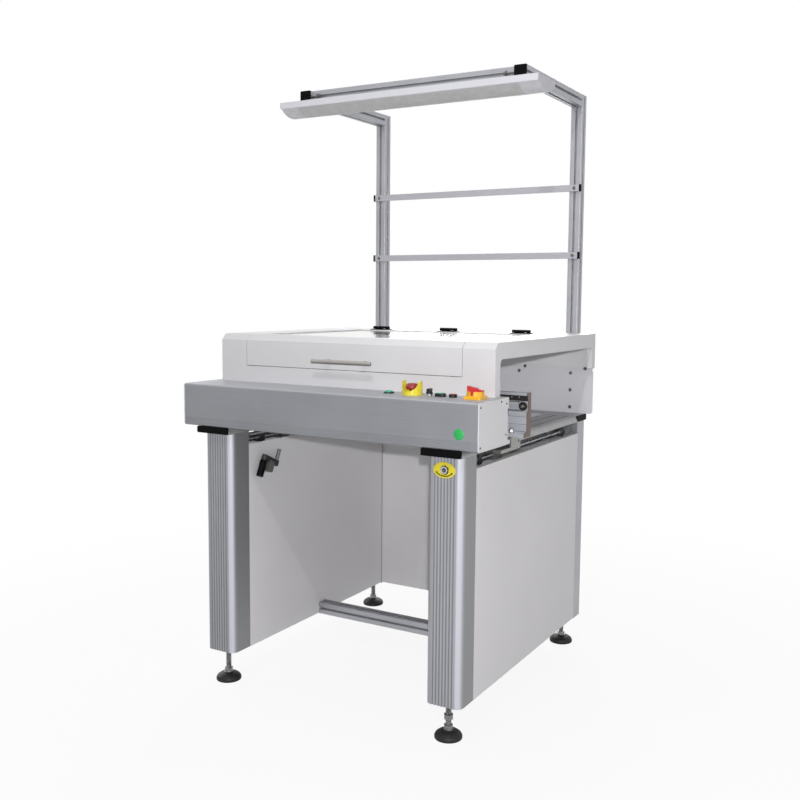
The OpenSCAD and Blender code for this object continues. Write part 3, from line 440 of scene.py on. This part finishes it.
def steel(name, colour, rough, wear=0.25, pitch=0.0, centre=(0, 0, 0)):
    # machined or plated steel with smudges; pitch cuts a helical thread along y round the centre
    p = machined
    finish = Finish(name, Metallic=1.0)
    smudge = finish.noise(p["smudges"], 5.0, 0.6)
    dark = tuple(c * (1 - wear) for c in colour)
    finish.set("Base_Color", finish.twoTone(smudge, dark, colour, p["spread"]))
    finish.set("Roughness", rough + p["roughSmudges"] * smudge)
    scratch = finish.noise(p["scratches"], 2.0)
    if pitch:
        x, y, z = finish.axes(centre)
        turn = finish.math("ARCTAN2", z, x)
        thread = scratch * 0.05 + finish.math("SINE", y * (math.tau / pitch) + turn)
        finish.set("Normal", finish.bump(thread, p["threadDepth"], 0.8))
    else:
        finish.relief(scratch, p["depth"], 0.4, p["edge"])
    return finish


# the width screws' axes, and the pitch and look of their threads
widthScrews = {"x": 0.389, "z": 0.750, "pitch": 0.004, "colour": (0.58, 0.59, 0.61), "rough": 0.2, "wear": 0.2}


def threaded(name, side):
    p = widthScrews
    return steel(name, p["colour"], p["rough"], p["wear"], p["pitch"], (side * p["x"], 0, p["z"]))


dress(steel("zincSteel", (0.40, 0.41, 0.43), 0.3), "leg_foot_plates")
dress(steel("screwHeads", (0.20, 0.195, 0.19), 0.34), "machine_screws")
dress(steel("machinedSteel", (0.46, 0.455, 0.45), 0.24), "drive_shaft", "rear_drive_pulley")

# rings are in radians per metre of radius
idlers = {"x": 0.484, "z": 0.8974, "hub": 0.0042, "hubBlend": (0.92, 1.05), "rim": 0.0092,
          "rimBlend": 1.06, "rings": 9000.0,
          "dark": (0.13, 0.115, 0.10), "bright": (0.66, 0.63, 0.57), "edgeTone": (0.02, 0.02, 0.02),
          "rough": 0.26, "depth": 0.0002, "edge": 0.0004}


def idlerFinish():
    # dark turned pulleys, ring-marked by the tool, with a bright axle end in the middle
    p = idlers
    finish = Finish("idlerSteel", Metallic=1.0)
    x, y, z = finish.axes((0, 0, p["z"]))
    across = finish.math("ABSOLUTE", x) - p["x"]
    reach = finish.math("SQRT", across * across + z * z)
    hub = 1 - finish.smooth(reach, *(p["hub"] * share for share in p["hubBlend"]))
    rings = finish.math("SINE", reach * p["rings"])
    rim = finish.smooth(reach, p["rim"], p["rim"] * p["rimBlend"])
    face = finish.mix(rim, p["dark"], p["edgeTone"])
    finish.set("Base_Color", finish.mix(hub, face, p["bright"]))
    finish.set("Roughness", p["rough"] - 0.06 * hub + 0.2 * rim + 0.04 * rings)
    finish.relief(rings * 0.3 + hub * 2, p["depth"], 0.6, p["edge"])
    return finish


dress(idlerFinish(), "front_idler", "rear_idler")
dress(steel("chromedSteel", (0.62, 0.63, 0.65), 0.12, 0.12), "guide_rods")
dress(threaded("threadRight", 1), "lead_screw_right")
dress(threaded("threadLeft", -1), "lead_screw_left")
dress(steel("darkSteel", (0.10, 0.10, 0.11), 0.38), "bearing_blocks", "drive_motor")


crank = {"place": (-0.321, back(222), 0.672), "lean": 25, "above": 0.0087, "blend": 0.0004,
         "arm": (0.05, 0.05, 0.054), "shaft": (0.24, 0.235, 0.225), "smudge": (0.10, 0.10, 0.10),
         "smudges": 90.0, "rough": 0.34, "roughSmudges": 0.16}


def crankFinish():
    # blackened arm with a bright shaft; the height is measured along the crank's leaning axis
    p = crank
    finish = Finish("crankSteel", Metallic=0.8)
    x, y, z = finish.axes(p["place"])
    lean = math.radians(p["lean"])
    height = y * math.sin(lean) + z * math.cos(lean)
    smudge = finish.noise(p["smudges"], 4.0)
    tone = finish.mix(finish.smooth(height, p["above"], p["above"] + p["blend"]), p["arm"], p["shaft"])
    finish.set("Base_Color", finish.mix(smudge * 0.5, tone, p["smudge"]))
    finish.set("Roughness", p["rough"] + p["roughSmudges"] * smudge)
    finish.relief(smudge, machined["depth"], 0.4, machined["edge"])
    return finish


dress(crankFinish(), "crank_handle")
dress(moulded("laminatePlate", (0.150, 0.118, 0.098), 0.5), "rail_end_plates")


# heights above the floor of the pad's top and the hexagon's top; radii round the stud's thread
feet = {"front": back(66.5), "rear": back(926), "rubber": (0.009, 0.009, 0.010),
        "metal": (0.30, 0.30, 0.31), "metalDark": (0.16, 0.16, 0.165), "smudges": 90.0,
        "padTop": 0.0245, "padBlend": 0.0006, "hexTop": 0.0372, "hexBlend": 0.0005,
        "stud": (0.0088, 0.0092), "thread": 0.0015, "rough": 0.52, "polish": 0.22,
        "threadDepth": 0.0004, "edge": 0.0005}


def footFinish(name, x, y):
    # black pad below, plated hexagon and threaded stud above; the thread winds up the stud's own axis
    p = feet
    finish = Finish(name, Specular_IOR_Level=0.3)
    ax, ay, z = finish.axes((x, y, 0))
    metal = finish.smooth(z, p["padTop"], p["padTop"] + p["padBlend"])
    smudge = finish.noise(p["smudges"], 4.0)
    plated = finish.twoTone(smudge, p["metalDark"], p["metal"])
    finish.set("Base_Color", finish.mix(metal, p["rubber"], plated))
    finish.set("Metallic", metal)
    finish.set("Roughness", p["rough"] - p["polish"] * metal + 0.1 * smudge)
    wind = finish.math("SINE", z * (math.tau / p["thread"]) + finish.math("ARCTAN2", ay, ax))
    onStud = finish.smooth(z, p["hexTop"], p["hexTop"] + p["hexBlend"])
    near = 1 - finish.smooth(finish.math("SQRT", ax * ax + ay * ay), *p["stud"])
    finish.relief(wind * onStud * near + smudge * 0.1, p["threadDepth"], 0.8, p["edge"])
    return finish


for side, x in (("left", -legs["middle"]), ("right", legs["middle"])):
    dress(footFinish("footFront" + side.title(), x, feet["front"]), "foot_front_" + side)
    dress(footFinish("footRear" + side.title(), x, feet["rear"]), "foot_rear_" + side)


window = {"patches": (3.0, 9.0, 1.0), "ripples": (22.0, 60.0, 10.0), "clear": (0.90, 0.91, 0.89),
          "tint": (0.74, 0.79, 0.62), "pale": (0.92, 0.93, 0.92), "stops": (0.34, 0.50, 0.60),
          "rough": 0.05, "roughRipples": 0.10, "depth": 0.003}


def windowFinish():
    # clear sheet under its thin protective film, which wrinkles and tints it in long patches
    p = window
    finish = Finish("filmedAcrylic", Transmission_Weight=0.42, IOR=1.49, Coat_Weight=0.7, Coat_Roughness=0.04)
    patches = finish.noise(p["patches"], 3.0, 0.5)
    ripple = finish.noise(p["ripples"], 4.0, 0.6)
    tones = zip(p["stops"], (p["clear"], p["tint"], p["pale"]))
    finish.set("Base_Color", finish.ramp(patches, *tones))
    finish.set("Roughness", p["rough"] + p["roughRipples"] * ripple)
    finish.set("Normal", finish.bump(ripple, p["depth"], 0.5))
    return finish


dress(windowFinish(), "lid_window")
print("finishes on the CAD nodes")


merging = {"near": 1e-7, "sharp": 32}            # doubles' distance in metres; sharp edges in degrees


def meshPiece(name, grids, finish, body):
    # grids are (n, m, 3) arrays closed along their second axis; points that coincide at a pole are merged
    points, faces, start = [], [], 0
    for grid in grids:
        n, m = grid.shape[:2]
        i, j = np.meshgrid(np.arange(n - 1), np.arange(m), indexing="ij")
        after = (j + 1) % m
        corners = [i * m + j, i * m + after, (i + 1) * m + after, (i + 1) * m + j]
        faces.append(np.stack(corners, -1).reshape(-1, 4) + start)
        points.append(grid.reshape(-1, 3))
        start += n * m
    data = bpy.data.meshes.new(name)
    data.from_pydata(np.concatenate(points).tolist(), [], np.concatenate(faces).tolist())
    shape = bmesh.new()
    shape.from_mesh(data)
    bmesh.ops.remove_doubles(shape, verts=shape.verts, dist=merging["near"])
    bmesh.ops.recalc_face_normals(shape, faces=shape.faces)
    shape.to_mesh(data)
    shape.free()
    data.shade_smooth()
    data.set_sharp_from_angle(angle=math.radians(merging["sharp"]))
    data.materials.append(finish.material)
    piece = bpy.data.objects.new(name, data)
    scene.collection.objects.link(piece)
    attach(piece, body)


def turned(profile, centre, axis, steps=32):
    # the profile's (radius, height) pairs spun round an axis:
    # centre + height * axis + radius * (cos, sin) across it
    radius, height = np.array(profile).T
    axis = np.array(axis, float) / np.linalg.norm(axis)
    side = np.cross(axis, (0, 0, 1) if abs(axis[2]) < 0.9 else (1, 0, 0))
    side /= np.linalg.norm(side)
    other = np.cross(axis, side)
    angle = np.arange(steps) * 2 * np.pi / steps
    ring = np.cos(angle)[:, None] * side + np.sin(angle)[:, None] * other
    return np.array(centre) + height[:, None, None] * axis + radius[:, None, None] * ring


def screwHead(p, centre, axis, steps):
    # the outline, in shares of the head's radius and height, spun round its axis
    return turned(np.array(p["outline"]) * (p["radius"], p["height"]), centre, axis, steps)


def bar(low, high):
    # a box along x: a pole, a square ring, a square ring and a pole, between two opposite corners
    x = np.array([low[0], low[0], high[0], high[0]])[:, None] + np.zeros(4)
    y, z = np.array([low[1], high[1], high[1], low[1]]), np.array([low[2], low[2], high[2], high[2]])
    spread = np.array([0, 1, 1, 0])[:, None]
    return np.stack([x, y.mean() + (y - y.mean()) * spread, z.mean() + (z - z.mean()) * spread], -1)


widthPlate = {"x": 0.389, "z": 0.750, "face": back(26), "wide": 0.033, "high": 0.0215, "hole": 0.0125,
              "thick": 0.0005, "rim": 0.02, "bevel": 0.8, "steps": 96}


def makeWidthPlate():
    # an oval ring: each point lies between the round hole and the ellipse,
    # front and back faces joined at both edges
    p = widthPlate
    angle = np.arange(p["steps"]) * 2 * np.pi / p["steps"]
    outer = np.stack([p["wide"] * np.cos(angle), p["high"] * np.sin(angle)], -1)
    inner = p["hole"] * np.stack([np.cos(angle), np.sin(angle)], -1)
    share = np.array([0, p["rim"], 0.5, 1 - p["rim"], 1, 1, 0, 0])[:, None, None]
    raised = np.array([p["bevel"], 1, 1, 1, p["bevel"], 0, 0, p["bevel"]])[:, None]
    depth = raised * p["thick"] + 0 * angle
    flat = inner + (outer - inner) * share
    grid = np.stack([p["x"] + flat[..., 0], p["face"] - depth, p["z"] + flat[..., 1]], -1)
    meshPiece("widthPlate", [grid], yellowVinyl, "frame")


# over and under are the arrow's faces, in thicknesses of the plate
widthArrow = {"wide": 0.0250, "high": 0.0160, "from": 196, "to": 344, "line": 0.0024, "head": 0.0060,
              "tip": 0.085, "over": 1.5, "under": 1.05, "steps": 61}


def makeWidthArrow():
    # a band along part of an ellipse, its half width a short triangle at each end and even between
    p, q = widthPlate, widthArrow
    t = np.linspace(0, 1, q["steps"])
    angle = np.radians(q["from"] + (q["to"] - q["from"]) * t)
    along = np.stack([q["wide"] * np.cos(angle), q["high"] * np.sin(angle)], -1)
    across = np.stack([np.cos(angle) / q["wide"], np.sin(angle) / q["high"]], -1)
    across /= np.linalg.norm(across, axis=1)[:, None]
    end = np.minimum(t, 1 - t)
    half = np.where(end < q["tip"], end / q["tip"] * q["head"] / 2, q["line"] / 2)
    grid = []
    for turn, depth in ((1, q["over"]), (-1, q["over"]), (-1, q["under"]), (1, q["under"])):
        flat = along + across * (half * turn)[:, None]
        y = np.full(q["steps"], p["face"] - p["thick"] * depth)
        grid.append(np.stack([p["x"] + flat[:, 0], y, p["z"] + flat[:, 1]], -1))
    meshPiece("widthArrow", [np.stack(grid, 1)], blackPlastic, "frame")


sticker = {"x": 0.443, "z": 0.852, "radius": 0.015, "height": 0.00012, "steps": 72,
           "outline": ((0, 1), (0.98, 1), (1, 0.5), (1, 0), (0, 0))}


def makeSticker():
    p = sticker
    disc = screwHead(p, (p["x"], back(0), p["z"]), (0, -1, 0), p["steps"])
    meshPiece("roundSticker", [disc], greenVinyl, "frame")


hingeScrews = {"places": (-0.275, 0, 0.275), "across": (-0.022, 0.022), "hinge": 789, "offset": 17,
               "top": 1.0866, "radius": 0.0036, "height": 0.0016, "steps": 24,
               "outline": ((0, 0.45), (0.3, 0.5), (0.34, 0.98), (0.6, 1), (0.88, 0.75), (1, 0.35),
                           (1, 0), (0, 0))}


def makeHingeScrews():
    # pan heads with a cross recess's round dip
    p = hingeScrews
    for body, y in (("frame", p["hinge"] + p["offset"]), ("lid", p["hinge"] - p["offset"])):
        centres = [(x + dx, back(y), p["top"]) for x in p["places"] for dx in p["across"]]
        heads = [screwHead(p, centre, (0, 0, 1), p["steps"]) for centre in centres]
        meshPiece("hingeScrews" + body.title(), heads, screwSteel, body)


seam = {"reach": 0.4695, "depth": (back(957.5), back(959.5)), "height": (0.9601, 0.9659)}


def makeSeam():
    # the hood's folded rear edge, which closes the gap above the rear plate
    p = seam
    (front, rear), (low, high) = p["depth"], p["height"]
    fold = bar((-p["reach"], front, low), (p["reach"], rear, high))
    meshPiece("hoodRearFold", [fold], plateCoat, "frame")


# strip and stopHeight are heights from the gap's lower edge
lidSeal = {"reach": 0.3715, "bottom": 0.988, "strip": (-0.006, 0.004), "depth": (back(152.1), back(153.6)),
           "stops": (-0.355, -0.014, 0.352), "half": 0.011, "stopDepth": (back(149.1), back(152.1)),
           "stopHeight": (-0.0014, -0.0002)}


def makeLidSeal():
    # a dark strip behind the gap under the lid, and three rubber stops in the gap
    p = lidSeal
    low, high = (p["bottom"] + rise for rise in p["strip"])
    grids = [bar((-p["reach"], p["depth"][0], low), (p["reach"], p["depth"][1], high))]
    low, high = (p["bottom"] + rise for rise in p["stopHeight"])
    for x in p["stops"]:
        grids.append(bar((x - p["half"], p["stopDepth"][0], low), (x + p["half"], p["stopDepth"][1], high)))
    meshPiece("lidSeal", grids, blackPlastic, "frame")


lips = {"from": 0.427, "to": 0.4419, "run": (back(125), back(885)), "height": (0.7452, 0.7469)}


def makeLips():
    # folded upper edges of the side walls' outer skins
    p = lips
    grids = [bar((min(a, b), p["run"][0], p["height"][0]), (max(a, b), p["run"][1], p["height"][1]))
             for a, b in ((p["from"], p["to"]), (-p["from"], -p["to"]))]
    meshPiece("panelFolds", grids, panelCoat, "frame")


guideScrews = {"places": (0.4698, 0.4473, 0.36, 0.24, 0.12, 0, -0.12, -0.24, -0.36, -0.44),
               "z": 0.9218, "radius": 0.0026, "height": 0.0014, "steps": 20,
               "outline": ((0, 0.5), (0.35, 0.55), (0.4, 1), (0.75, 0.9), (1, 0.4), (1, 0), (0, 0))}


def makeGuideScrews():
    # small pan heads along the top of each rail's belt recess
    p = guideScrews
    for body, face, way in (("frame", rails["faces"][0], 1), ("movable_rail", rails["faces"][1], -1)):
        heads = [screwHead(p, (x, face, p["z"]), (0, way, 0), p["steps"]) for x in p["places"]]
        meshPiece("guideScrews" + body.title().replace("_", ""), heads, brightSteel, body)


domeNuts = {"x": 0.457, "y": 303.6, "base": 0.822, "washer": 0.0082, "thick": 0.0012,
            "hex": 0.0072, "chamfer": 0.0006, "flat": 0.94, "rise": 0.0080, "sink": 0.001,
            "dome": 0.0062, "ballSteps": 14, "steps": 40, "sides": 6}


def makeDomeNuts():
    # a washer, a hexagon (the same spin in six steps) and a half ball:
    # radius = dome * cos(t), height = dome * sin(t)
    p = domeNuts
    t = np.linspace(0, np.pi / 2, p["ballSteps"])
    rise, thick, foot = p["rise"], p["thick"], p["rise"] - p["sink"]
    washer = [(0, thick), (p["washer"], thick), (p["washer"], 0), (0, 0)]
    hexagon = p["hex"]
    nut = [(0, rise), (hexagon * p["flat"], rise), (hexagon, rise - p["chamfer"]),
           (hexagon, thick), (0, thick)]
    ball = [(0, foot), (p["dome"], foot)] + list(zip(p["dome"] * np.cos(t), rise + p["dome"] * np.sin(t)))
    grids = []
    for side in (-1, 1):
        centre = (side * p["x"], back(p["y"]), p["base"])
        for profile, steps in ((washer, p["steps"]), (nut, p["sides"]), (ball, p["steps"])):
            grids.append(turned(profile, centre, (0, 0, 1), steps))
    meshPiece("domeNuts", grids, screwSteel, "movable_rail")


screwSteel = steel("screwSteel", (0.34, 0.345, 0.36), 0.3)
brightSteel = steel("brightNutSteel", (0.66, 0.67, 0.69), 0.10, 0.15)
makeDomeNuts()
makeWidthPlate()
makeWidthArrow()
makeSticker()
makeHingeScrews()
makeSeam()
makeLidSeal()
makeLips()
makeGuideScrews()
print("plate, arrow, sticker, folds and small screws")


# the floor's glow near the object, and the distances over which it grows to full white
studio = {"floorSize": 30.0, "floorTone": 0.62, "floorRough": 0.9, "glow": 0.90, "clearing": (0.7, 2.6),
          "skyLevel": 0.10}

# each lamp's place, the height it points at above the floor's middle, its size and its power
lamps = {"keyLight": ((1.545, -2.655, 1.295), 0.8, (0.035, 0.035), 43.0),
         "hallLight": ((1.2, -3.0, 4.3), 0.8, (0.16, 0.16), 45.0),
         "topLight": ((-0.6, -1.0, 4.4), 0.9, (2.4, 2.4), 42.0),
         "rearLight": ((-1.2, 4.0, 2.6), 0.9, (2.4, 2.4), 120.0),
         "leftLight": ((-3.8, 0.8, 1.8), 0.8, (2.0, 2.0), 60.0),
         "sideLight": ((3.6, -0.9, 2.0), 0.9, (1.7, 2.6), 25.0)}


def rays(tree):
    # 1 for what the camera sees directly, in a reflection or through glass
    path = tree.nodes.new("ShaderNodeLightPath")
    last = path.outputs["Is Camera Ray"]
    for name in ("Is Glossy Ray", "Is Transmission Ray"):
        either = tree.nodes.new("ShaderNodeMath")
        either.operation = "MAXIMUM"
        tree.links.new(last, either.inputs[0])
        tree.links.new(path.outputs[name], either.inputs[1])
        last = either.outputs[0]
    return last


def makeFloor():
    # white where it is looked at, shaded a little near the object, so that the shadow stays
    reach, tone, glowing = studio["floorSize"], studio["floorTone"], studio["glow"]
    corners = [(-reach, -reach, 0), (reach, -reach, 0), (reach, reach, 0), (-reach, reach, 0)]
    data = bpy.data.meshes.new("floor")
    data.from_pydata(corners, [], [(0, 1, 2, 3)])
    floor = bpy.data.objects.new("floor", data)
    scene.collection.objects.link(floor)
    finish = Finish("paleFloor", Base_Color=(tone, tone, tone), Roughness=studio["floorRough"])
    x, y, z = finish.axes()
    away = finish.smooth(finish.math("SQRT", x * x + y * y), *studio["clearing"])
    seen = Wire(finish, rays(finish.tree))
    plain = Wire(finish, finish.shader.outputs[0])
    glow = finish.add("ShaderNodeEmission", {}, {"Color": (1, 1, 1), "Strength": 1.0})
    share = seen * (glowing + (1 - glowing) * away)
    mixed = finish.add("ShaderNodeMixShader", {}, {0: share, 1: plain, 2: glow})
    finish.tree.links.new(mixed.socket, finish.output.inputs["Surface"])
    data.materials.append(finish.material)


def makeWorld():
    # white to the eye, and a low even light for everything else
    world.use_nodes = True
    tree = world.node_tree
    tree.nodes.clear()
    shades = []
    for strength in (studio["skyLevel"], 1.0):
        shade = tree.nodes.new("ShaderNodeBackground")
        shade.inputs["Color"].default_value = (1, 1, 1, 1)
        shade.inputs["Strength"].default_value = strength
        shades.append(shade)
    mixed = tree.nodes.new("ShaderNodeMixShader")
    tree.links.new(rays(tree), mixed.inputs[0])
    tree.links.new(shades[0].outputs[0], mixed.inputs[1])
    tree.links.new(shades[1].outputs[0], mixed.inputs[2])
    output = tree.nodes.new("ShaderNodeOutputWorld")
    tree.links.new(mixed.outputs[0], output.inputs["Surface"])


def makeLamp(name, place, aim, size, power):
    data = bpy.data.lights.new(name, "AREA")
    data.shape = "RECTANGLE"
    data.size, data.size_y = size
    data.energy = power
    lamp = bpy.data.objects.new(name, data)
    lamp.location = place
    lamp.rotation_euler = (Vector((0, 0, aim)) - Vector(place)).to_track_quat("-Z", "Y").to_euler()
    scene.collection.objects.link(lamp)


# angles in radians; focal length and centre in pixels of a picture this wide; sensor in mm
viewpoint = {"azimuth": 0.525293, "elevation": 0.096126, "roll": 0.0080006,
             "place": (1.531888, -2.661792, 1.205894), "focal": 947.47, "centre": (403.97, 387.51),
             "wide": 800, "sensor": 36.0, "farthest": 100}


def makeCamera():
    # a pinhole set by its direction, roll, focal length and principal point
    p = viewpoint
    az, el, roll = p["azimuth"], p["elevation"], p["roll"]
    toCamera = Vector((math.sin(az) * math.cos(el), -math.cos(az) * math.cos(el), math.sin(el)))
    right = (-toCamera).cross(Vector((0, 0, 1))).normalized()
    up = right.cross(-toCamera)
    rolledRight = right * math.cos(roll) + up * math.sin(roll)
    rolledUp = up * math.cos(roll) - right * math.sin(roll)
    data = bpy.data.cameras.new("camera")
    data.sensor_width = p["sensor"]
    data.lens = p["focal"] / p["wide"] * p["sensor"]
    data.shift_x = -(p["centre"][0] - p["wide"] / 2) / p["wide"]
    data.shift_y = (p["centre"][1] - p["wide"] / 2) / p["wide"]
    data.clip_end = p["farthest"]
    camera = bpy.data.objects.new("camera", data)
    turn = Matrix((rolledRight, rolledUp, toCamera)).transposed()
    camera.matrix_world = Matrix.Translation(p["place"]) @ turn.to_4x4()
    scene.collection.objects.link(camera)
    scene.camera = camera


makeFloor()
makeWorld()
for name, (place, aim, size, power) in lamps.items():
    makeLamp(name, place, aim, size, power)
makeCamera()
print("floor, lamps and camera")
